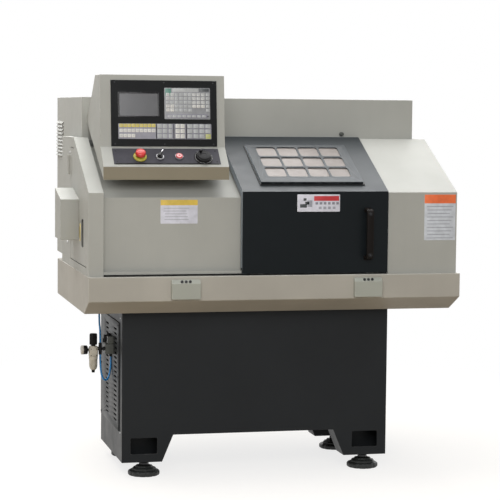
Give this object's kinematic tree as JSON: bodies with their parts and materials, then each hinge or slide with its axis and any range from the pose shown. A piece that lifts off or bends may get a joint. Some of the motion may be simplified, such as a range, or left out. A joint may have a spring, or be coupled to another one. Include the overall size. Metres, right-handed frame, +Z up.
{
  "type": "cnc turning lathe",
  "caption": "Small enclosed CNC turning lathe: console, sliding guard door with a barred window, chip tray on a cabinet stand, headstock with chuck, and a saddle with a cross slide inside.",
  "frame": {"origin": "the floor point under the middle of the whole machine", "axes": "+X to the right along the spindle, +Y to the back, +Z up; the operator stands at -Y"},
  "size_m": [1.571, 1.27, 1.602],
  "materials": {
    "paint_beige": "satin powder coat",
    "paint_dark": "semi-gloss dark grey paint",
    "paint_motor": "satin paint",
    "cast_iron": "painted casting with ground ways",
    "ground_steel": "ground",
    "tool_steel": "ground",
    "aluminium": "machined",
    "chrome": "polished",
    "black_plastic": "fine texture",
    "nylon": "plain",
    "panel_black": "satin film",
    "screen": "glossy dark screen",
    "key_film": "membrane keys",
    "red_plastic": "glossy",
    "rubber": "plain",
    "belt_rubber": "ribbed",
    "pane": "clear sheet",
    "bowl": "translucent",
    "tube_blue": "smooth"
  },
  "bodies": {
    "machine": {"stand_cabinet": "paint_dark", "stand_vent_panel": "paint_dark", "levelling_feet": "black_plastic", "chip_tray": "paint_beige", "tray_lip_covers": "paint_beige", "bed_casting": "cast_iron", "headstock": "cast_iron", "main_motor": "paint_motor", "coolant_tank": "paint_motor", "z_servo_motor": "black_plastic", "hood_left_end": "paint_beige", "headstock_cover": "paint_beige", "hood_right_cover": "paint_beige", "rear_cabinet": "paint_beige", "cabinet_rear_cover": "paint_beige", "drive_units": "black_plastic", "door_rails": "ground_steel", "chamber_left_wall": "ground_steel", "console_housing": "paint_beige", "console_panel": "panel_black", "display_screen": "screen", "mdi_keypad": "key_film", "operator_keypad": "key_film", "switch_strip": "panel_black", "control_bezels": "black_plastic", "air_valve": "black_plastic", "regulator_body": "aluminium", "filter_bowl": "bowl", "pressure_gauge": "black_plastic", "air_fittings": "black_plastic", "air_supply_tube": "tube_blue", "air_loop_tube": "tube_blue", "drive_belt": "belt_rubber"},
    "sliding_door": {"sliding_door": "paint_dark", "door_handle": "black_plastic", "window_guard": "paint_dark", "window_pane": "pane", "window_gasket": "rubber", "door_glides": "nylon"},
    "side_door": {"side_door": "paint_beige", "belt_cover": "paint_beige"},
    "spindle": {"spindle": "ground_steel", "spindle_pulley": "aluminium", "chuck_body": "ground_steel", "chuck_cylinder": "aluminium"},
    "jaw_1": {"chuck_jaw_1": "tool_steel"},
    "jaw_2": {"chuck_jaw_2": "tool_steel"},
    "jaw_3": {"chuck_jaw_3": "tool_steel"},
    "motor_rotor": {"motor_pulley": "aluminium"},
    "saddle": {"saddle": "cast_iron", "x_servo_motor": "black_plastic"},
    "cross_slide": {"cross_slide": "cast_iron", "tool_blocks": "tool_steel"},
    "z_screw": {"z_ballscrew": "ground_steel"},
    "x_screw": {"x_ballscrew": "ground_steel"},
    "estop": {"estop_button": "red_plastic"},
    "selector": {"mode_selector": "black_plastic"},
    "start_button": {"start_button": "red_plastic"},
    "handwheel": {"handwheel": "black_plastic"},
    "regulator_knob": {"regulator_knob": "black_plastic"}
  },
  "joints": [
    {"name": "door_slide", "type": "slide", "parent": "machine", "child": "sliding_door", "axis": [1, 0, 0], "range_m": [-0.53, 0]},
    {"name": "side_door_hinge", "type": "hinge", "parent": "machine", "child": "side_door", "pos_m": [-0.7185, -0.068, 1.08], "axis": [0, 0, -1], "range_deg": [0, 100]},
    {"name": "spindle_spin", "type": "hinge", "parent": "machine", "child": "spindle", "pos_m": [-0.4645, -0.231, 1.045], "axis": [1, 0, 0], "continuous": true},
    {"name": "motor_spin", "type": "hinge", "parent": "machine", "child": "motor_rotor", "pos_m": [-0.5345, -0.231, 0.43], "axis": [1, 0, 0], "continuous": true},
    {"name": "jaw_1_slide", "type": "slide", "parent": "spindle", "child": "jaw_1", "axis": [0, 0, 1], "range_m": [-0.008, 0.004]},
    {"name": "jaw_2_slide", "type": "slide", "parent": "spindle", "child": "jaw_2", "axis": [0, -0.866, -0.5], "range_m": [-0.008, 0.004]},
    {"name": "jaw_3_slide", "type": "slide", "parent": "spindle", "child": "jaw_3", "axis": [0, 0.866, -0.5], "range_m": [-0.008, 0.004]},
    {"name": "saddle_slide", "type": "slide", "parent": "machine", "child": "saddle", "axis": [1, 0, 0], "range_m": [-0.24, 0]},
    {"name": "z_screw_spin", "type": "hinge", "parent": "machine", "child": "z_screw", "pos_m": [-0.0645, -0.231, 0.858], "axis": [1, 0, 0], "range_deg": [-8650, 10]},
    {"name": "cross_slide_slide", "type": "slide", "parent": "saddle", "child": "cross_slide", "axis": [0, 1, 0], "range_m": [-0.09, 0.08]},
    {"name": "x_screw_spin", "type": "hinge", "parent": "saddle", "child": "x_screw", "pos_m": [0.4755, -0.421, 0.935], "axis": [0, 1, 0], "range_deg": [-3250, 2890]},
    {"name": "estop_press", "type": "slide", "parent": "machine", "child": "estop", "axis": [0, 0.6805, -0.7327], "range_m": [0, 0.005], "stiffness_N_per_m": 2000, "springref_m": -0.002},
    {"name": "selector_turn", "type": "hinge", "parent": "machine", "child": "selector", "pos_m": [-0.4275, -0.53536, 1.28265], "axis": [0, -0.6805, 0.7327], "range_deg": [-45, 45]},
    {"name": "start_press", "type": "slide", "parent": "machine", "child": "start_button", "axis": [0, 0.6805, -0.7327], "range_m": [0, 0.003], "stiffness_N_per_m": 1000, "springref_m": -0.002},
    {"name": "handwheel_spin", "type": "hinge", "parent": "machine", "child": "handwheel", "pos_m": [-0.2555, -0.53829, 1.27993], "axis": [0, -0.6805, 0.7327], "continuous": true},
    {"name": "regulator_knob_turn", "type": "hinge", "parent": "machine", "child": "regulator_knob", "pos_m": [-0.6365, -0.205, 0.509], "axis": [0, 0, 1], "range_deg": [-540, 540]}
  ],
  "couplings": [
    {"joint": "motor_spin", "follows": "spindle_spin", "ratio": 1.3333},
    {"joint": "jaw_2_slide", "follows": "jaw_1_slide", "ratio": 1},
    {"joint": "jaw_3_slide", "follows": "jaw_1_slide", "ratio": 1},
    {"joint": "z_screw_spin", "follows": "saddle_slide", "rad_per_m": 628.32},
    {"joint": "x_screw_spin", "follows": "cross_slide_slide", "rad_per_m": 628.32}
  ]
}
